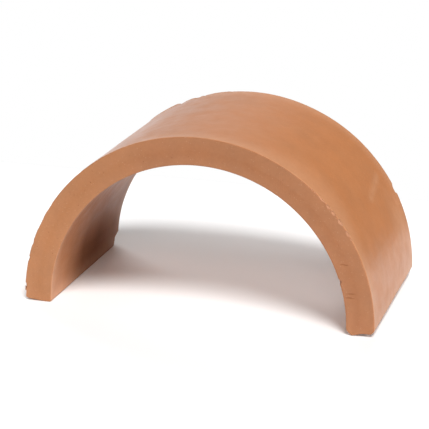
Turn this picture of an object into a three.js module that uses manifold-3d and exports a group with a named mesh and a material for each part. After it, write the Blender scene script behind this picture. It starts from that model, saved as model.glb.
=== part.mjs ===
// A plain half-round clay ridge tile: one thick-walled half barrel of unglazed terracotta that
// stands on the undersides of its two legs. Millimetres, +Z up, barrel axis along Y.
// Origin: on the bearing plane, under the middle of the barrel.

import * as THREE from 'three';
import { mergeVertices } from 'three/addons/utils/BufferGeometryUtils.js';
import Module from 'manifold-3d';

// Barrel
const OUTER_RADIUS = 125;
const WALL = 19.5;
const LENGTH = 145;
const AXIS_HEIGHT = 3;
const ARRIS_EASE = 0.8;
const ARC_STEPS = 72;

// Feet: each underside is given as depths into the wall and heights, from the inner arris to the
// outer one. It bears on a level strip beside the inner arris and rises towards the outer one.
// Each leg is straight up to LEG_HEIGHT, where the round of the barrel takes over.
const LEG_HEIGHT = 6;
const CORNER_STEPS = 4;
const LEFT_FOOT = {
  side: -1,
  innerRounding: 1.6,
  outerRounding: 2,
  underside: [[0, 0], [6.6, 0], [WALL, 1.4]],
};
const RIGHT_FOOT = {
  side: 1,
  innerRounding: 0.8,
  outerRounding: 3.6,
  underside: [[0, 5], [1.3, 2.2], [2.4, 0.9], [3.6, 0], [5.4, 0], [10.4, 1.7], [12.5, 1.9], [WALL, 1.9]],
};

// Damage. An angle is measured round the barrel from the right-hand springing, in degrees.
// Each chip in an outer arris is a shallow shell: along is its length on the arris, radial its
// bite into the wall and axial its bite from the end face.
const FRONT = -1;
const REAR = 1;
const ARRIS_CHIPS = [
  { end: REAR, angle: 133, along: 7, radial: 0.8, axial: 6 },
  { end: REAR, angle: 115.5, along: 5, radial: 0.9, axial: 7 },
  { end: REAR, angle: 29, along: 8, radial: 1.9, axial: 4 },
  { end: FRONT, angle: 179.3, along: 11, radial: 0.9, axial: 3 },
  { end: FRONT, angle: 176.8, along: 6, radial: 1.3, axial: 2.4 },
  { end: FRONT, angle: 167.2, along: 4.5, radial: 1.2, axial: 2 },
  { end: FRONT, angle: 161.7, along: 4.5, radial: 1.1, axial: 2.2 },
  { end: FRONT, angle: 148, along: 8, radial: 0.7, axial: 2.2 },
  { end: FRONT, angle: 46.2, along: 6, radial: 0.9, axial: 1 },
  { end: FRONT, angle: 43.2, along: 4, radial: 1.4, axial: 1.3 },
  { end: FRONT, angle: 40.7, along: 4.5, radial: 1.6, axial: 1.4 },
  { end: FRONT, angle: 37.2, along: 5.5, radial: 1.5, axial: 1.6 },
  { end: FRONT, angle: 33, along: 5, radial: 1.5, axial: 1.3 },
];

// The lost lower corner at the rear of the left leg: a larger shell, centred past the corner
const BROKEN_CORNER = {
  halfWidths: { intoWall: 8, along: 18.5, up: 13.7 },
  centrePast: { wallFace: 1, rearEnd: 5, bearingPlane: 4 },
};
const CHIP_FACETING = 2;
const BROKEN_CORNER_FACETING = 3;

const INNER_RADIUS = OUTER_RADIUS - WALL;
const HALF_LENGTH = LENGTH / 2;

const wasm = await Module();
wasm.setup();

function weld(geometry) {
  const bare = geometry.clone();
  bare.deleteAttribute('normal');
  bare.deleteAttribute('uv');
  return mergeVertices(bare);
}

function toSolid(geometry) {
  const welded = weld(geometry);
  return new wasm.Manifold(new wasm.Mesh({
    numProp: 3,
    vertProperties: new Float32Array(welded.attributes.position.array),
    triVerts: new Uint32Array(welded.index.array),
  }));
}

function toGeometry(solid) {
  const mesh = solid.getMesh();
  const geometry = new THREE.BufferGeometry();
  geometry.setAttribute('position', new THREE.BufferAttribute(mesh.vertProperties, mesh.numProp));
  geometry.setIndex(new THREE.BufferAttribute(mesh.triVerts, 1));
  return geometry;
}

// The rounded corner at `corner`, entered from `before` and left towards `after`.
function roundedCorner(before, corner, after, rounding) {
  const start = corner.clone().add(before.clone().sub(corner).setLength(rounding));
  const end = corner.clone().add(after.clone().sub(corner).setLength(rounding));
  return new THREE.QuadraticBezierCurve(start, corner, end).getPoints(CORNER_STEPS);
}

// A foot's outline from the inside of the wall, under the leg, to the outside of the wall.
function footOutline({ side, innerRounding, outerRounding, underside }) {
  const points = underside.map(
    ([depth, height]) => new THREE.Vector2(side * (INNER_RADIUS + depth), height),
  );
  const innerLegTop = new THREE.Vector2(side * INNER_RADIUS, LEG_HEIGHT);
  const outerLegTop = new THREE.Vector2(side * OUTER_RADIUS, LEG_HEIGHT);
  return [
    ...roundedCorner(innerLegTop, points[0], points[1], innerRounding),
    ...points.slice(1, -1),
    ...roundedCorner(points.at(-2), points.at(-1), outerLegTop, outerRounding),
  ];
}

// The round of the barrel at one radius, from the top of the right leg to that of the left.
function barrelArc(radius) {
  const startAngle = Math.asin((LEG_HEIGHT - AXIS_HEIGHT) / radius);
  const arc = new THREE.EllipseCurve(0, AXIS_HEIGHT, radius, radius, startAngle, Math.PI - startAngle);
  return arc.getPoints(ARC_STEPS);
}

// The section, anticlockwise: right foot, outside of the barrel, left foot, inside of the barrel.
function barrelSection() {
  return new THREE.Shape([
    ...footOutline(RIGHT_FOOT),
    ...barrelArc(OUTER_RADIUS),
    ...footOutline(LEFT_FOOT).reverse(),
    ...barrelArc(INNER_RADIUS).reverse(),
  ]);
}

function barrel() {
  const extruded = new THREE.ExtrudeGeometry(barrelSection(), {
    depth: LENGTH - 2 * ARRIS_EASE,
    steps: 1,
    bevelThickness: ARRIS_EASE,
    bevelSize: ARRIS_EASE,
    bevelOffset: -ARRIS_EASE,
    bevelSegments: 2,
  });
  extruded.rotateX(Math.PI / 2);
  extruded.translate(0, HALF_LENGTH - ARRIS_EASE, 0);
  return extruded;
}

function arrisChip({ end, angle, along, radial, axial }) {
  const bite = new THREE.IcosahedronGeometry(1, CHIP_FACETING);
  bite.scale(radial, axial, along / 2);
  bite.rotateY(-THREE.MathUtils.degToRad(angle));
  const x = OUTER_RADIUS * Math.cos(THREE.MathUtils.degToRad(angle));
  const z = AXIS_HEIGHT + OUTER_RADIUS * Math.sin(THREE.MathUtils.degToRad(angle));
  bite.translate(x, end * HALF_LENGTH, z);
  return bite;
}

function brokenCorner({ halfWidths, centrePast }) {
  const bite = new THREE.IcosahedronGeometry(1, BROKEN_CORNER_FACETING);
  bite.scale(halfWidths.intoWall, halfWidths.along, halfWidths.up);
  bite.translate(
    -INNER_RADIUS + centrePast.wallFace,
    HALF_LENGTH + centrePast.rearEnd,
    -centrePast.bearingPlane,
  );
  return bite;
}

const damage = [...ARRIS_CHIPS.map(arrisChip), brokenCorner(BROKEN_CORNER)];
const chippedBarrel = damage.reduce(
  (solid, bite) => solid.subtract(toSolid(bite)),
  toSolid(barrel()),
);

const terracotta = new THREE.MeshStandardMaterial({
  color: new THREE.Color(0xc28a62),
  roughness: 0.88,
  metalness: 0,
});

const tile = new THREE.Mesh(toGeometry(chippedBarrel), terracotta);
tile.name = 'ridge_tile';

const group = new THREE.Group();
group.add(tile);

export default group;
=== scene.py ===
import math
import random

import bmesh
import bpy
from mathutils import Matrix, Vector, noise
from mathutils.geometry import intersect_point_line


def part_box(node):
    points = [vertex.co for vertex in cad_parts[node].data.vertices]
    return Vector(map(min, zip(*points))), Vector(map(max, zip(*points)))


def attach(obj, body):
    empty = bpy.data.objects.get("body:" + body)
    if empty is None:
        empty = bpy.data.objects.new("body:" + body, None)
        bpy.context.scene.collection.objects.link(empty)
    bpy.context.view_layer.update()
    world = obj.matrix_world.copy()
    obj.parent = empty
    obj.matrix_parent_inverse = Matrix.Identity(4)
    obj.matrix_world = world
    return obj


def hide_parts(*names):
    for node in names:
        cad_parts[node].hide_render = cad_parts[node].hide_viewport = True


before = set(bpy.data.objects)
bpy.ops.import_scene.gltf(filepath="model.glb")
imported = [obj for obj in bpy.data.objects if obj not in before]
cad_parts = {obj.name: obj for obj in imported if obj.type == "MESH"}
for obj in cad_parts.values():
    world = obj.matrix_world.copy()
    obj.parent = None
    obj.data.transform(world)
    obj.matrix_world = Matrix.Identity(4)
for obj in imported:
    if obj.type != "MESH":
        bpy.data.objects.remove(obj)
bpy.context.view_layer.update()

# --- The half barrel -------------------------------------------------------------------------
# One piece of unglazed red clay, pushed through a die as a thick half pipe. It is cut to length
# with a wire while it is soft, then dried and fired standing on its two feet.
MM = 0.001
tile_low, tile_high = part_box("ridge_tile")
outer_radius = (tile_high.x - tile_low.x) / 2
half_length = (tile_high.y - tile_low.y) / 2
axis_height = tile_high.z - outer_radius
wall = 19.5 * MM
inner_radius = outer_radius - wall
middle_radius = outer_radius - wall / 2
half_arc = middle_radius * math.pi / 2
half_path = half_arc + axis_height

# The feet bear on a strip beside the inner arris and rise a little towards the outer one. An
# arris has a rounding and a fullness, 2 for a true round. Depths and heights are millimetres.
LEFT_FOOT = {
    "inner": (1.5 * MM, 2),
    "outer": (3.0 * MM, 2),
    "underside": ((6.6, 0), (19.5, 1.4)),
}
RIGHT_FOOT = {
    "inner": (4.4 * MM, 1.35),
    "outer": (4.0 * MM, 2),
    "underside": ((4.3, 0), (10.2, 1.7), (12.5, 1.95), (19.5, 1.95)),
}
FOOT_RISE_REACH = 12 * MM
END_EASING, END_EASING_SPREAD, END_EASING_RUN = 0.5 * MM, 0.4, 9 * MM

STATIONS, COURSES, LAYERS = 372, 68, 26
STATION_EVENNESS, COURSE_EVENNESS, LAYER_EVENNESS = 0.5, 0.2, 0.42


def crowd(t, evenness):
    """Spaces the steps from -1 to 1 closer together towards both ends."""
    return evenness * t + (1 - evenness) * math.sin(t * math.pi / 2)


def smooth_step(t):
    t = min(max(t, 0), 1)
    return t * t * (3 - 2 * t)


def round_corner(first, second, radius, fullness=2):
    """Takes depths below two faces that meet squarely and draws them in to a round arris."""
    across, down = radius - first, radius - second
    if across <= 0 or down <= 0:
        return first, second
    reach = max(across, down) / (across ** fullness + down ** fullness) ** (1 / fullness)
    return radius - across * reach, radius - down * reach


def eased(path, along, depth):
    """Rounds the arrises of the slab: first the feet's long ones, then those of the two ends."""
    side, end = math.copysign(1, path), math.copysign(1, along)
    outside = depth > wall / 2
    foot_size, fullness = (RIGHT_FOOT if side > 0 else LEFT_FOOT)["outer" if outside else "inner"]
    skin = wall - depth if outside else depth
    foot = half_path - abs(path)
    across, down = foot_size - skin, foot_size - foot
    if across > 0 and down > 0:
        below = foot_size - max(across, down)
        inward = Vector((across, down)).normalized()
        skin, foot = round_corner(skin, foot, foot_size, fullness)
    else:
        below = min(skin, foot)
        inward = Vector((1, 0)) if skin < foot else Vector((0, 1))
    unevenness = noise.noise(Vector((path / END_EASING_RUN, 5 * outside, 5 * end)))
    easing = END_EASING * (1 + END_EASING_SPREAD * unevenness)
    sunk, face = round_corner(below, half_length - abs(along), easing)
    skin += inward.x * (sunk - below)
    foot += inward.y * (sunk - below)
    return (half_path - foot) * side, (half_length - face) * end, wall - skin if outside else skin


def underside(foot, depth):
    """How far a foot's underside stands off the ground at a depth into the wall."""
    for (near, low), (far, high) in zip(foot["underside"], foot["underside"][1:]):
        if depth < far * MM:
            return (low + (high - low) * max(depth / MM - near, 0) / (far - near)) * MM
    return high * MM


def bent(path, along, depth):
    """Bends the slab into the half barrel and its two short upright legs."""
    radius = inner_radius + depth
    turn = min(max(path, -half_arc), half_arc) / middle_radius
    leg = max(abs(path) - half_arc, 0)
    rise = underside(RIGHT_FOOT if path > 0 else LEFT_FOOT, depth)
    lift = rise * smooth_step(1 - (half_path - abs(path)) / FOOT_RISE_REACH)
    return Vector((
        radius * math.sin(turn),
        along,
        axis_height + radius * math.cos(turn) - leg + lift,
    ))


def half_barrel():
    barrel = bmesh.new()
    bmesh.ops.create_grid(barrel, x_segments=STATIONS, y_segments=COURSES, size=1)
    raised = bmesh.ops.extrude_face_region(barrel, geom=barrel.faces[:], use_keep_orig=True)
    skin = [v for v in raised["geom"] if isinstance(v, bmesh.types.BMVert)]
    bmesh.ops.translate(barrel, vec=(0, 0, 2), verts=skin)
    through = [e for e in barrel.edges if abs(e.verts[0].co.z - e.verts[1].co.z) > 1]
    bmesh.ops.subdivide_edges(barrel, edges=through, cuts=LAYERS - 1, use_grid_fill=True)
    for v in barrel.verts:
        path = half_path * crowd(v.co.x, STATION_EVENNESS)
        along = half_length * crowd(v.co.y, COURSE_EVENNESS)
        depth = wall / 2 * (1 + crowd(v.co.z - 1, LAYER_EVENNESS))
        v.co = bent(*eased(path, along, depth))
    bmesh.ops.recalc_face_normals(barrel, faces=barrel.faces[:])
    return barrel


# The die leaves faint ridges along both skins and the wire leaves upright ones down the ends.
# Drying leaves slow hollows everywhere.
HOLLOW_DEPTH, HOLLOW_SPAN = 0.16 * MM, 48 * MM
# The wire left low lips of clay standing on the rear arris: from and to in degrees, height.
REAR_LIPS = ((116.8, 131, 0.55), (110.8, 114.5, 0.3), (97.5, 106, 0.22))
LIP_REACH, LIP_START, LIP_TAIL = 3.2 * MM, 0.8, 3.2
DIE_RIDGE, DIE_SPAN, DIE_RUN = 0.05 * MM, 5 * MM, 300 * MM
WIRE_RIDGE, WIRE_SPAN, WIRE_RUN = 0.07 * MM, 3.6 * MM, 70 * MM


def lip(co):
    """How far the clay stands up beside the rear arris of the outer skin."""
    degrees = math.degrees(math.atan2(co.z - axis_height, co.x))
    nearness = smooth_step(1 - (half_length - co.y) / LIP_REACH)
    outside = smooth_step((math.hypot(co.x, co.z - axis_height) - middle_radius) / (wall / 2))
    height = 0
    for first, last, full in REAR_LIPS:
        rise = smooth_step((degrees - first) / LIP_START) * smooth_step((last - degrees) / LIP_TAIL)
        height = max(height, full * MM * rise)
    return height * nearness * outside


def add_relief(barrel):
    barrel.normal_update()
    for v in barrel.verts:
        co = v.co
        facing_end = abs(v.normal.y)
        round_path = middle_radius * math.atan2(co.x, co.z - axis_height)
        hollow = HOLLOW_DEPTH * noise.noise(co / HOLLOW_SPAN)
        die = DIE_RIDGE * noise.noise(Vector((round_path / DIE_SPAN, co.y / DIE_RUN, 3)))
        wire = WIRE_RIDGE * noise.noise(Vector((co.x / WIRE_SPAN, co.y, co.z / WIRE_RUN)))
        outward = Vector((co.x, 0, co.z - axis_height)).normalized() * lip(co)
        v.co = co + v.normal * (hollow + die * (1 - facing_end) + wire * facing_end) + outward
        v.co.z = max(v.co.z, 0)


barrel = half_barrel()
add_relief(barrel)
tile_mesh = bpy.data.meshes.new("half_barrel")
barrel.to_mesh(tile_mesh)
barrel.free()
tile = bpy.data.objects.new("half_barrel", tile_mesh)
bpy.context.scene.collection.objects.link(tile)

# --- The damage ------------------------------------------------------------------------------
# Knocks have taken shells out of the outer arrises and one lower corner off the left leg. The
# wire dragged grit across the ends, which left nibbles in their arrises, and pits and scores.
FRONT, REAR = -1, 1
# The finishes of the clay. The last is for clay torn by the wire, in pits and scores; its darker clay
# is partly painted shade in these hollows.
SKIN, LINING, END_CUT, BREAK, DRAGGED = range(5)
# End, degrees round from the right-hand springing, length, bite into the wall, bite from the end.
SHELLS = (
    (REAR, 133, 7, 0.8, 6.0),
    (REAR, 115.5, 5, 0.9, 7.0),
    (REAR, 109.6, 5, 0.5, 7.0),
    (REAR, 107, 2.6, 0.5, 4.0),
    (REAR, 29, 8, 1.9, 4.0),
    (FRONT, 179.3, 11, 0.9, 3.0),
    (FRONT, 176.8, 6, 1.3, 2.4),
    (FRONT, 167.2, 4.5, 1.2, 2.0),
    (FRONT, 161.7, 4.5, 1.1, 2.2),
    (FRONT, 154, 14, 0.4, 2.0),
    (FRONT, 148, 8, 0.7, 2.2),
    (FRONT, 46.2, 6, 0.9, 1.0),
    (FRONT, 43.2, 4, 1.4, 1.3),
    (FRONT, 40.7, 4.5, 1.6, 1.4),
    (FRONT, 37.2, 5.5, 1.5, 1.6),
    (FRONT, 33, 5, 1.5, 1.3),
)
# End, radius, from and to in degrees, mean spacing, largest bite. The last row is one nibble.
NIBBLED = (
    (FRONT, outer_radius, 31, 52, 3.0, 0.85),
    (FRONT, outer_radius, 54, 158, 13, 0.6),
    (FRONT, outer_radius, 4, 29, 8, 0.6),
    (REAR, outer_radius, 4, 176, 8, 0.75),
    (FRONT, inner_radius, 3, 177, 10, 0.6),
    (REAR, inner_radius, 3, 160, 8, 0.8),
    (FRONT, inner_radius, 19, 19.2, 9, 1.7),
)
# A nibble's bite is a share of the largest, and its two other widths are shares of its bite. The
# spacing is a share of the mean one, and no nibble comes nearer to a shell than the margin.
NIBBLE_SHARE, NIBBLE_INWARD, NIBBLE_ALONG = (0.45, 1), (0.7, 1.2), (0.9, 1.5)
SPACING_SHARE, SHELL_MARGIN = (0.7, 1.5), 1.6
CORNER_HALF_WIDTHS = Vector((8, 18.5, 13.7)) * MM
CORNER_PAST_WALL, CORNER_PAST_END, CORNER_PAST_GROUND = 1 * MM, 5 * MM, 4 * MM
# On the right leg's front end: across and up from the barrel's axis, length, slope in degrees.
SCORES = ((102.5, 46.5, 6, -4), (108.5, 26.5, 6, 4), (107.5, 23.5, 7, 2))
SCORE_HALF_WIDTH, SCORE_DEPTH, SCORE_CLEARANCE = 0.42 * MM, 0.25 * MM, 8 * MM
PIT_COUNT, PIT_MARGIN, PIT_SPACING, PIT_DEPTH = 60, 3.5 * MM, 4 * MM, 0.3 * MM
PIT_SIZES, PIT_STRETCH, PIT_DEGREES = (0.18, 0.42), (1, 1.6), (12, 170)
# How often the bumps of a broken face come across a shell, and their share of its size. The
# bumps of one shell are read so far from those of the next that no two are alike.
SHELL_BUMPS = ((1.7, 0.2), (4.5, 0.09), (11, 0.035))
BUMPS_APART = 7
CORNER_FINENESS, SHELL_FINENESS, NIBBLE_FINENESS, PIT_FINENESS = 5, 4, 3, 2
SEED = 17


def arris_point(end, radius, degrees):
    angle = math.radians(degrees)
    up = axis_height + radius * math.sin(angle)
    return Vector((radius * math.cos(angle), end * half_length, up))


def rough_shell(cutter, centre, half_widths, degrees, fineness, number, finish):
    """Adds a lumpy ellipsoid, turned so that its length lies along the barrel's curve."""
    ball = bmesh.ops.create_icosphere(cutter, subdivisions=fineness, radius=1)
    turn = Matrix.Rotation(-math.radians(degrees), 3, "Y")
    for face in {face for v in ball["verts"] for face in v.link_faces}:
        face.material_index = finish
    for v in ball["verts"]:
        place = v.co + Vector((0, 0, BUMPS_APART * number))
        swell = 1 + sum(size * noise.noise(place * pitch) for pitch, size in SHELL_BUMPS)
        v.co = centre + turn @ Vector([w * c * swell for w, c in zip(half_widths, v.co)])


def cutter_mesh():
    cutter = bmesh.new()
    dice = random.Random(SEED)
    number = 0
    for end, degrees, along, radial, axial in SHELLS:
        number += 1
        widths = (radial * MM, axial * MM, along / 2 * MM)
        place = arris_point(end, outer_radius, degrees)
        rough_shell(cutter, place, widths, degrees, SHELL_FINENESS, number, BREAK)
    corner = Vector((
        CORNER_PAST_WALL - inner_radius,
        half_length + CORNER_PAST_END,
        -CORNER_PAST_GROUND,
    ))
    rough_shell(cutter, corner, CORNER_HALF_WIDTHS, 0, CORNER_FINENESS, 0, BREAK)

    for end, radius, first, last, spacing, largest in NIBBLED:
        degrees = first
        while degrees < last:
            number += 1
            bite = largest * MM * dice.uniform(*NIBBLE_SHARE)
            widths = (bite, bite * dice.uniform(*NIBBLE_INWARD), bite * dice.uniform(*NIBBLE_ALONG))
            taken = [
                s for s in SHELLS
                if s[0] == end and radius == outer_radius
                and math.radians(abs(s[1] - degrees)) * radius < (s[2] / 2 + SHELL_MARGIN) * MM
            ]
            if not taken:
                place = arris_point(end, radius, degrees)
                rough_shell(cutter, place, widths, degrees, NIBBLE_FINENESS, number, BREAK)
            degrees += math.degrees(spacing * MM * dice.uniform(*SPACING_SHARE) / radius)

    marks = []
    for across, up, length, slope in SCORES:
        number += 1
        place = Vector((across * MM, FRONT * half_length, axis_height + up * MM))
        marks.append(place)
        widths = (length / 2 * MM, SCORE_DEPTH, SCORE_HALF_WIDTH)
        rough_shell(cutter, place, widths, slope, SHELL_FINENESS, number, DRAGGED)

    pits = []
    while len(pits) < PIT_COUNT:
        number += 1
        end = dice.choice((FRONT, REAR))
        radius = dice.uniform(inner_radius + PIT_MARGIN, outer_radius - PIT_MARGIN)
        place = arris_point(end, radius, dice.uniform(*PIT_DEGREES))
        size = dice.uniform(*PIT_SIZES) * MM
        if any((place - other).length < PIT_SPACING for other in pits):
            continue
        if any((place - mark).length < SCORE_CLEARANCE for mark in marks):
            continue
        pits.append(place)
        widths = (size, PIT_DEPTH, size * dice.uniform(*PIT_STRETCH))
        rough_shell(cutter, place, widths, 0, PIT_FINENESS, number, DRAGGED)
    bmesh.ops.recalc_face_normals(cutter, faces=cutter.faces[:])
    return cutter


def knock_out(tile):
    """Takes the shells out of the tile. Their faces keep the finish they were given."""
    cutter = cutter_mesh()
    knocks_mesh = bpy.data.meshes.new("knocks")
    cutter.to_mesh(knocks_mesh)
    cutter.free()
    knocks = bpy.data.objects.new("knocks", knocks_mesh)
    bpy.context.scene.collection.objects.link(knocks)
    for mesh in (tile.data, knocks_mesh):
        for name in ("skin", "lining", "end_cut", "break", "dragged"):
            mesh.materials.append(bpy.data.materials.get(name) or bpy.data.materials.new(name))
    cut = tile.modifiers.new("knocks", "BOOLEAN")
    cut.object = knocks
    cut.operation = "DIFFERENCE"
    cut.solver = "MANIFOLD"
    depsgraph = bpy.context.evaluated_depsgraph_get()
    knocked = bpy.data.meshes.new_from_object(tile.evaluated_get(depsgraph), depsgraph=depsgraph)
    tile.modifiers.clear()
    whole, tile.data = tile.data, knocked
    bpy.data.meshes.remove(whole)
    bpy.data.objects.remove(knocks)
    bpy.data.meshes.remove(knocks_mesh)


knock_out(tile)

# --- The clay --------------------------------------------------------------------------------
# Iron-rich clay with pale grit in it, fired to a soft orange brown. The skins are smooth from the
# die, the ends are combed by the wire, and the arrises are rubbed pale and dusty by handling; on
# the lining's front arris that pale dust is partly a painted highlight.
CLAY = (0.401, 0.161, 0.064, 1)
# The lining low down, in from the front end, painted with light and shade: lit clay, then painted
# shade, then less of that shade.
LIT_LINING_CLAY = (0.430, 0.179, 0.077, 1)
DEEP_SHADE_CLAY = (0.165, 0.058, 0.023, 1)
DEEP_FROM, DEEP_TO, DEEP_ROUGHNESS = 22 * MM, 64 * MM, 0.85
DEEP_UNTIL, DEEP_END, DEEP_LEFT = 95 * MM, 145 * MM, 0.45
# The lining above that, in from the front end, with painted shade near the front and painted light
# towards the open rear end, and the heights between which it takes over.
HIGH_CLAY = (0.333, 0.122, 0.046, 1)
HIGH_DEEP_CLAY = (0.475, 0.180, 0.072, 1)
HIGH_FROM, HIGH_TO = 40 * MM, 115 * MM
DEEP_LOW, DEEP_HIGH = 20 * MM, 62 * MM
# The cut ends, which are paler on the left.
END_CLAY = (0.320, 0.128, 0.054, 1)
LEFT_END_CLAY = (0.347, 0.144, 0.058, 1)
PALER_FROM, PALER_TO = -25 * MM, -80 * MM
BROKEN_CLAY = (0.370, 0.176, 0.096, 1)
# Torn clay in pits and scores, darker than the cut ends: partly torn clay, partly painted shade in the
# hollows.
DRAGGED_SHADED_CLAY = (0.275, 0.108, 0.045, 1)
DUST = (0.70, 0.43, 0.28, 1)
PALE_GRIT = (0.66, 0.46, 0.31, 1)
DARK_GRIT = (0.13, 0.05, 0.03, 1)
# On the lining the pale dust near the ends and feet is partly dust, partly a painted highlight along
# the front inner arris and the foot beside it.
RUB_REACH, FRONT_RUB_REACH, LINING_DUST_AND_HIGHLIGHT_REACH = 18 * MM, 46 * MM, 13 * MM
FRONT_RUB_MIDDLE, FRONT_RUB_SPREAD = 52, 30
# A scuff runs from one place to another, each given as degrees and millimetres in from the front
# end. The last two are its reach and how rubbed it is. The first is a scuff; the second, broad
# and round, is a painted reflection on the right side near the rear end.
SCUFF_AND_SHEEN_PATCHES = (((37, 123), (34, 81), 5, 0.7), ((20, 128), (20, 128), 36, 1.0))
SCUFF_BREAK, SCUFF_SPAN = 0.7, 6 * MM
# The attribute carries rubbed dust together with painted highlight and painted reflection.
RUB_AND_SHEEN = "rubbed"
SQUARE_ON, FOOT_HEIGHT = 0.75, 3 * MM


def round_radius(co):
    return math.hypot(co.x, max(co.z - axis_height, 0))


def scuff_and_sheen(co):
    """How pale the outer skin is made away from its arrises: by a knock, and by a patch of painted
    reflection.
    """
    worn = 0
    uneven = 1 + SCUFF_BREAK * noise.noise(co / SCUFF_SPAN)
    for *ends, size, full in SCUFF_AND_SHEEN_PATCHES:
        start, stop = (
            arris_point(FRONT, outer_radius, degrees) + Vector((0, inward * MM, 0))
            for degrees, inward in ends
        )
        share = intersect_point_line(co, start, stop)[1] if start != stop else 0
        nearest = start.lerp(stop, min(max(share, 0), 1))
        distance = (co - nearest).length / (size * MM)
        worn = max(worn, full * smooth_step(1 - distance) * uneven)
    return worn


def rub_and_sheen(co):
    """How rubbed the clay is, with painted highlight and reflection carried along: 1 on an arris,
    falling to 0 away from it.
    """
    radius = round_radius(co)
    outside = radius > middle_radius
    depths = sorted((
        abs(outer_radius - radius) if outside else abs(radius - inner_radius),
        max(co.z, 0),
        half_length - abs(co.y),
    ))
    reach = RUB_REACH if outside else LINING_DUST_AND_HIGHLIGHT_REACH
    if outside and co.y < 0:
        degrees = math.degrees(math.atan2(co.z - axis_height, co.x))
        nearness = smooth_step(1 - abs(degrees - FRONT_RUB_MIDDLE) / FRONT_RUB_SPREAD)
        reach += (FRONT_RUB_REACH - RUB_REACH) * nearness
    return min(max(smooth_step(1 - depths[1] / reach), scuff_and_sheen(co)), 1)


def name_faces(mesh):
    """Gives each face its own finish: skin, lining or cut end. Broken faces keep theirs."""
    for face in mesh.polygons:
        face.use_smooth = True
        if face.material_index in (BREAK, DRAGGED):
            continue
        underneath = face.normal.z < -SQUARE_ON and face.center.z < FOOT_HEIGHT
        cut = abs(face.normal.y) > SQUARE_ON or underneath
        lining = round_radius(face.center) < middle_radius
        face.material_index = END_CUT if cut else LINING if lining else SKIN


def sharpen_breaks(mesh):
    """Keeps the rim of every broken place crisp."""
    worked = bmesh.new()
    worked.from_mesh(mesh)
    for edge in worked.edges:
        finishes = {face.material_index for face in edge.link_faces}
        edge.smooth = not ({BREAK, DRAGGED} & finishes and len(finishes) > 1)
    worked.to_mesh(mesh)
    worked.free()


name_faces(tile.data)
sharpen_breaks(tile.data)
rubbed = tile.data.attributes.new(RUB_AND_SHEEN, "FLOAT", "POINT")
rubbed.data.foreach_set("value", [rub_and_sheen(v.co) for v in tile.data.vertices])


def add(tree, kind, place=(0, 0), **settings):
    """Adds a node and sets its plain values: sockets by their name, the rest as properties."""
    made = tree.nodes.new("ShaderNode" + kind)
    made.location = place
    for name, value in settings.items():
        socket = made.inputs.get(name.replace("_", " ").title())
        if socket is not None:
            socket.default_value = value
        else:
            setattr(made, name, value)
    return made


def new_group(name, inputs, outputs):
    """Starts a node group. Its sockets are given as names and kinds."""
    group = bpy.data.node_groups.new(name, "ShaderNodeTree")
    for names, way in ((inputs, "INPUT"), (outputs, "OUTPUT")):
        for socket, kind in names.items():
            group.interface.new_socket(socket, in_out=way, socket_type="NodeSocket" + kind)
    return group, group.nodes.new("NodeGroupInput"), group.nodes.new("NodeGroupOutput")


def object_place(tree):
    """The place on the object, split into X, Y and Z."""
    where = tree.nodes.new("ShaderNodeTexCoord")
    parts = add(tree, "SeparateXYZ")
    tree.links.new(where.outputs["Object"], parts.inputs["Vector"])
    return parts.outputs


def patch(tree, span, detail=2.0, offset=0.0):
    """Soft cloudy noise, 0 to 1, whose patches are about one span across."""
    where = tree.nodes.new("ShaderNodeTexCoord")
    shift = add(tree, "Mapping", Location=(offset, 0, offset))
    cloud = add(tree, "TexNoise", scale=1 / span, detail=detail, roughness=0.55)
    tree.links.new(where.outputs["Object"], shift.inputs["Vector"])
    tree.links.new(shift.outputs["Vector"], cloud.inputs["Vector"])
    return cloud.outputs["Fac"]


def ranged(tree, value, low, high, to_low, to_high):
    """Carries a value from one range to another and stops at both ends."""
    carried = add(tree, "MapRange", From_Min=low, From_Max=high, To_Min=to_low, To_Max=to_high)
    tree.links.new(value, carried.inputs["Value"])
    return carried.outputs["Result"]


def reckon(tree, operation, first, second):
    """Works out first and second together. Each is a socket or a plain number."""
    made = add(tree, "Math", operation=operation)
    for socket, value in zip(made.inputs, (first, second)):
        if isinstance(value, (int, float)):
            socket.default_value = value
        else:
            tree.links.new(value, socket)
    return made.outputs["Value"]


def blend_colour(tree, factor, first, second, way="MIX"):
    """Mixes two colours, each a socket or a plain colour, by a factor."""
    made = add(tree, "Mix", data_type="RGBA", blend_type=way)
    for socket, value in ((made.inputs[0], factor), (made.inputs[6], first), (made.inputs[7], second)):
        if isinstance(value, bpy.types.NodeSocket):
            tree.links.new(value, socket)
        else:
            socket.default_value = value
    return made.outputs[2]


def grit(tree, span, size, share, offset):
    """A mask of scattered grains: a share of the cells hold one, of a size in cells."""
    where = tree.nodes.new("ShaderNodeTexCoord")
    shift = add(tree, "Mapping", Location=(offset, offset, 0))
    cells = add(tree, "TexVoronoi", scale=1 / span)
    tree.links.new(where.outputs["Object"], shift.inputs["Vector"])
    tree.links.new(shift.outputs["Vector"], cells.inputs["Vector"])
    grain = ranged(tree, cells.outputs["Distance"], size * 0.6, size, 1, 0)
    lot = add(tree, "SeparateColor")
    tree.links.new(cells.outputs["Color"], lot.inputs["Color"])
    return reckon(tree, "MULTIPLY", grain, reckon(tree, "LESS_THAN", lot.outputs["Red"], share))


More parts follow.
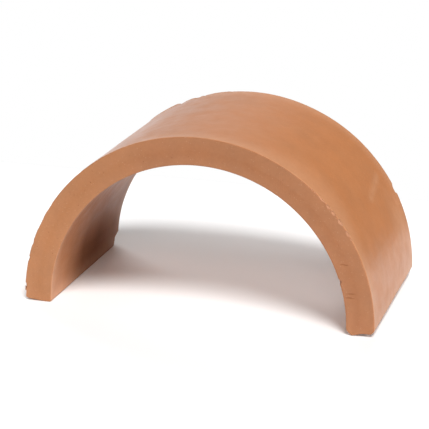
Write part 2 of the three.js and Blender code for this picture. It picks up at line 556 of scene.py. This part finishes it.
def clay_tone_group():
    """The body of the clay: slow and quick changes of tone, with pale and dark grit."""
    group, given, result = new_group(
        "clay tone",
        {"Clay": "Color", "Mottling": "Float", "Gritting": "Float"},
        {"Color": "Color"},
    )
    spans = ((34 * MM, 0.0, 0.5), (9 * MM, 1.3, 0.32), (1.6 * MM, 2.1, 0.4))
    tone = 0
    for span, offset, share in spans:
        swing = ranged(group, patch(group, span, 3.0, offset), 0.25, 0.75, -share, share)
        tone = reckon(group, "ADD", tone, swing)
    tone = reckon(group, "ADD", reckon(group, "MULTIPLY", tone, given.outputs["Mottling"]), 1)
    level = add(group, "CombineColor")
    for channel in ("Red", "Green", "Blue"):
        group.links.new(tone, level.inputs[channel])
    clay = blend_colour(group, 1, given.outputs["Clay"], level.outputs["Color"], "MULTIPLY")
    drift = ranged(group, patch(group, 22 * MM, 2.0, 4.7), 0.35, 0.65, 0, 0.5)
    warmer = blend_colour(group, 1, clay, (1.03, 0.97, 0.90, 1), "MULTIPLY")
    clay = blend_colour(group, drift, clay, warmer)
    pale = reckon(group, "MULTIPLY", grit(group, 1.5 * MM, 0.26, 0.20, 0.0), given.outputs["Gritting"])
    clay = blend_colour(group, pale, clay, PALE_GRIT)
    dark = reckon(group, "MULTIPLY", grit(group, 1.9 * MM, 0.22, 0.14, 3.3), given.outputs["Gritting"])
    clay = blend_colour(group, dark, clay, DARK_GRIT)
    group.links.new(clay, result.inputs["Color"])
    return group


def dusting_group():
    """Pale dust rubbed into the clay where it is worn, and breaking up towards the edge. Where the
    worn value carries painted highlight or reflection, this mix paints them.
    """
    group, given, result = new_group(
        "dusting", {"Color": "Color", "Worn": "Float", "Dusting": "Float"}, {"Color": "Color"}
    )
    breaking = ranged(group, patch(group, 5 * MM, 4.0, 6.1), 0.3, 0.7, 0.72, 1.12)
    amount = reckon(group, "MULTIPLY", given.outputs["Worn"], breaking)
    amount = reckon(group, "MULTIPLY", amount, given.outputs["Dusting"])
    group.links.new(blend_colour(group, amount, given.outputs["Color"], DUST), result.inputs["Color"])
    return group


def clay_grain_group():
    """The height of the fired clay's fine grain, with small open pores."""
    group, given, result = new_group("clay grain", {"Coarseness": "Float"}, {"Height": "Float"})
    grain = reckon(group, "MULTIPLY", patch(group, 0.5 * MM, 3.0), 0.45)
    lumps = reckon(group, "MULTIPLY", patch(group, 2.2 * MM, 3.0, 1.9), given.outputs["Coarseness"])
    pores = reckon(group, "MULTIPLY", grit(group, 1.2 * MM, 0.3, 0.3, 5.2), -0.35)
    height = reckon(group, "ADD", reckon(group, "ADD", grain, lumps), pores)
    group.links.new(height, result.inputs["Height"])
    return group


def drawn_lines_group():
    """The height of fine lines: wire lines down the ends and die lines along the skins."""
    group, given, result = new_group("drawn lines", {"Wire": "Float"}, {"Height": "Float"})
    place = object_place(group)
    angle = reckon(group, "ARCTAN2", place["X"], reckon(group, "SUBTRACT", place["Z"], axis_height))
    round_path = reckon(group, "MULTIPLY", angle, middle_radius)
    lines = []
    for across, along in ((place["X"], place["Z"]), (round_path, place["Y"])):
        stretched = add(group, "CombineXYZ")
        group.links.new(reckon(group, "DIVIDE", across, 0.8 * MM), stretched.inputs["X"])
        group.links.new(reckon(group, "DIVIDE", along, 30 * MM), stretched.inputs["Y"])
        cloud = add(group, "TexNoise", scale=1.0, detail=3.0, roughness=0.6)
        group.links.new(stretched.outputs["Vector"], cloud.inputs["Vector"])
        lines.append(cloud.outputs["Fac"])
    wire = reckon(group, "MULTIPLY", lines[0], given.outputs["Wire"])
    die = reckon(group, "MULTIPLY", lines[1], reckon(group, "SUBTRACT", 1, given.outputs["Wire"]))
    group.links.new(reckon(group, "ADD", wire, die), result.inputs["Height"])
    return group


groups = {
    "tone": clay_tone_group(),
    "dusting": dusting_group(),
    "grain": clay_grain_group(),
    "lines": drawn_lines_group(),
}


def place_group(tree, name, **values):
    placed = tree.nodes.new("ShaderNodeGroup")
    placed.node_tree = groups[name]
    for socket, value in values.items():
        placed.inputs[socket].default_value = value
    return placed


def clay_finish(
    name, clay, mottling, gritting, dusting, wire, line_height, coarseness, depth, rough, specular
):
    """Fills in one finish of the same clay: its tone, dust, grain, drawn lines and sheen."""
    material = bpy.data.materials[name]
    material.use_nodes = True
    tree = material.node_tree
    links = tree.links
    shader = tree.nodes["Principled BSDF"]
    shader.inputs["Specular IOR Level"].default_value = specular
    tone = place_group(tree, "tone", Clay=clay, Mottling=mottling, Gritting=gritting)
    worn = add(tree, "Attribute", attribute_name=RUB_AND_SHEEN)
    dusted = place_group(tree, "dusting", Dusting=dusting)
    links.new(tone.outputs["Color"], dusted.inputs["Color"])
    links.new(worn.outputs["Fac"], dusted.inputs["Worn"])
    links.new(dusted.outputs["Color"], shader.inputs["Base Color"])

    grain = place_group(tree, "grain", Coarseness=coarseness)
    lines = place_group(tree, "lines", Wire=wire)
    drawn = reckon(tree, "MULTIPLY", lines.outputs["Height"], line_height)
    height = reckon(tree, "ADD", grain.outputs["Height"], drawn)
    bump = add(tree, "Bump", strength=1.0, distance=depth)
    links.new(height, bump.inputs["Height"])
    links.new(bump.outputs["Normal"], shader.inputs["Normal"])
    sheen = ranged(tree, patch(tree, 12 * MM, 3.0, 8.4), 0.3, 0.7, rough - 0.05, rough + 0.05)
    links.new(sheen, shader.inputs["Roughness"])
    return tree, tone, sheen, shader


def paint_lining_light_and_shade(tree, tone, sheen, shader):
    """Paints light and shade into the lining: painted shade low down and deep inside, lit clay towards
    the open ends, and a duller sheen in the shade.
    """
    place = object_place(tree)
    inward = reckon(tree, "ADD", place["Y"], half_length)
    deep = ranged(tree, inward, DEEP_FROM, DEEP_TO, 0, 1)
    fading = ranged(tree, inward, DEEP_UNTIL, DEEP_END, 1, DEEP_LEFT)
    deep = reckon(tree, "MULTIPLY", deep, fading)
    low = ranged(tree, place["Z"], DEEP_LOW, DEEP_HIGH, 1, 0)
    high_deep = ranged(tree, inward, HIGH_FROM, HIGH_TO, 0, 1)
    high_clay = blend_colour(tree, high_deep, HIGH_CLAY, HIGH_DEEP_CLAY)
    clay = blend_colour(tree, low, high_clay, blend_colour(tree, deep, LIT_LINING_CLAY, DEEP_SHADE_CLAY))
    tree.links.new(clay, tone.inputs["Clay"])
    dull = reckon(tree, "MULTIPLY", reckon(tree, "MULTIPLY", deep, low), DEEP_ROUGHNESS)
    tree.links.new(reckon(tree, "MAXIMUM", sheen, dull), shader.inputs["Roughness"])


def make_paler(tree, tone):
    """Makes the clay of the cut ends a little paler towards the left."""
    left = ranged(tree, object_place(tree)["X"], PALER_TO, PALER_FROM, 1, 0)
    tree.links.new(blend_colour(tree, left, END_CLAY, LEFT_END_CLAY), tone.inputs["Clay"])


clay_finish(
    "skin", CLAY, mottling=0.10, gritting=0.10, dusting=0.18, wire=0, line_height=0.25,
    coarseness=0.4, depth=0.05 * MM, rough=0.35, specular=0.30,
)
# The lining's clay is painted with light and shade: lit near the open ends, painted shade low down
# deep inside.
paint_lining_light_and_shade(*clay_finish(
    # Its strong dusting is partly real dust and partly a painted highlight along the front inner
    # arris.
    "lining", LIT_LINING_CLAY, mottling=0.12, gritting=0.10, dusting=0.28, wire=0, line_height=0.4,
    coarseness=0.5, depth=0.06 * MM, rough=0.40, specular=0.3,
))
make_paler(*clay_finish(
    "end_cut", END_CLAY, mottling=0.12, gritting=0.16, dusting=0.06, wire=1, line_height=1.2,
    coarseness=0.8, depth=0.10 * MM, rough=0.62, specular=0.5,
)[:2])
clay_finish(
    "dragged", DRAGGED_SHADED_CLAY, mottling=0.16, gritting=0.3, dusting=0.04, wire=0, line_height=0,
    coarseness=1.2, depth=0.10 * MM, rough=0.7, specular=0.4,
)
clay_finish(
    "break", BROKEN_CLAY, mottling=0.16, gritting=0.3, dusting=0.08, wire=0, line_height=0,
    coarseness=1.6, depth=0.14 * MM, rough=0.75, specular=0.4,
)

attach(tile, "root")
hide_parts("ridge_tile")

# --- The floor -------------------------------------------------------------------------------
# A white table top, level with the undersides of the feet. It is wide, and ends a little way in
# front of the tile and behind it.
FLOOR_FRONT, FLOOR_BACK, FLOOR_SIDE = 0.42, 0.26, 6.0
# Its own colour, and the greyer one that the clay reflects.
FLOOR_WHITE, FLOOR_REFLECTED = (0.9, 0.9, 0.9, 1), (0.76, 0.76, 0.76, 1)
ground = bmesh.new()
bmesh.ops.create_grid(ground, x_segments=1, y_segments=1, size=1)
for v in ground.verts:
    v.co = Vector((v.co.x * FLOOR_SIDE, FLOOR_BACK if v.co.y > 0 else -FLOOR_FRONT, 0))
floor_mesh = bpy.data.meshes.new("floor")
ground.to_mesh(floor_mesh)
ground.free()
floor = bpy.data.objects.new("floor", floor_mesh)
bpy.context.scene.collection.objects.link(floor)
white = bpy.data.materials.new("white_floor")
white.use_nodes = True
white_shader = white.node_tree.nodes["Principled BSDF"]
white_ray = white.node_tree.nodes.new("ShaderNodeLightPath")
floor_white = blend_colour(
    white.node_tree, white_ray.outputs["Is Glossy Ray"], FLOOR_WHITE, FLOOR_REFLECTED
)
white.node_tree.links.new(floor_white, white_shader.inputs["Base Color"])
white_shader.inputs["Roughness"].default_value = 0.9
white_shader.inputs["Specular IOR Level"].default_value = 0.0
floor_mesh.materials.append(white)

# --- The light -------------------------------------------------------------------------------
# A broad soft lamp high on the right in front, a weaker one behind that only fills the shadow,
# and a dim room, which is pale where it is seen directly and in grazing reflections.
# Degrees round from the front end towards the right, degrees up, strength, spread in degrees.
LAMPS = {
    "key": (31, 58, 2.92, 22),
    "right": (75, 20, 1.58, 34),
    "front": (10, 15, 1.3, 30),
    "back": (-155, 30, 2.1, 40),
}
# What the clay reflects: a cool pale wall low down on the left, dark low down on the right.
REFLECTED_LEFT, REFLECTED_RIGHT, REFLECTED_ABOVE, ROOM_SEEN = 1.66, 0.16, 0.8, 1.0
COOL_WHITE, WHITE = (0.92, 1.0, 1.06, 1), (1, 1, 1, 1)
# Where it turns from left to right, where the wall fades upwards and to what share, and where
# the ceiling begins, all as the slope of the way there.
TURNING, WALL_FADING, WALL_LEFT, CEILING = (-0.2, 0.1), (-0.20, 0.27), 0.25, (0.42, 0.7)


def soft_lamp(name, turn, rise, strength, spread):
    """A broad lamp far away, which lights the clay but is kept out of its reflections."""
    turn, rise = math.radians(turn), math.radians(rise)
    towards = Vector((
        math.sin(turn) * math.cos(rise),
        -math.cos(turn) * math.cos(rise),
        math.sin(rise),
    ))
    lamp_data = bpy.data.lights.new(name, "SUN")
    lamp_data.energy = strength
    lamp_data.angle = math.radians(spread)
    lamp = bpy.data.objects.new(name, lamp_data)
    lamp.rotation_euler = towards.to_track_quat("Z", "Y").to_euler()
    lamp.visible_glossy = False
    bpy.context.scene.collection.objects.link(lamp)


for name, (turn, rise, strength, spread) in LAMPS.items():
    soft_lamp(name, turn, rise, strength, spread)

world = bpy.data.worlds.new("room")
world.use_nodes = True
sky = world.node_tree
room = sky.nodes["Background"]
ray = sky.nodes.new("ShaderNodeLightPath")
towards = sky.nodes.new("ShaderNodeTexCoord")
parts = add(sky, "SeparateXYZ")
sky.links.new(towards.outputs["Generated"], parts.inputs["Vector"])
around = ranged(sky, parts.outputs["X"], *TURNING, REFLECTED_LEFT, REFLECTED_RIGHT)
fading = ranged(sky, parts.outputs["Z"], *WALL_FADING, 1, WALL_LEFT)
above = ranged(sky, parts.outputs["Z"], *CEILING, 0, REFLECTED_ABOVE)
mirrored = reckon(sky, "MAXIMUM", reckon(sky, "MULTIPLY", around, fading), above)
mirrored = reckon(sky, "MULTIPLY", mirrored, ray.outputs["Is Glossy Ray"])
seen = reckon(sky, "MULTIPLY", ray.outputs["Is Camera Ray"], ROOM_SEEN)
sky.links.new(reckon(sky, "MAXIMUM", mirrored, seen), room.inputs["Strength"])
room_colour = blend_colour(sky, ray.outputs["Is Camera Ray"], COOL_WHITE, WHITE)
sky.links.new(room_colour, room.inputs["Color"])
bpy.context.scene.world = world

# --- The camera ------------------------------------------------------------------------------
# A long lens a little to the right of the front end, looking down on the tile. It stands about
# ten outer radii away, so the far end is drawn hardly smaller than the near one.
AZIMUTH, ELEVATION, ROLL = math.radians(15.81), math.radians(16.80), 0.014
DISTANCE, LENS, SENSOR = 10.316 * outer_radius, 151.0, 36
aim = Vector((-0.0612 * outer_radius, 0, 0.4238 * outer_radius))
camera_data = bpy.data.cameras.new("camera")
camera_data.sensor_width = SENSOR
camera_data.lens = LENS
camera = bpy.data.objects.new("camera", camera_data)
back = Vector((
    math.sin(AZIMUTH) * math.cos(ELEVATION),
    -math.cos(AZIMUTH) * math.cos(ELEVATION),
    math.sin(ELEVATION),
))
camera.matrix_world = (
    Matrix.Translation(aim + back * DISTANCE)
    @ back.to_track_quat("Z", "Y").to_matrix().to_4x4()
    @ Matrix.Rotation(ROLL, 4, "Z")
)
bpy.context.scene.collection.objects.link(camera)
bpy.context.scene.camera = camera
bpy.context.scene.view_settings.view_transform = "Standard"
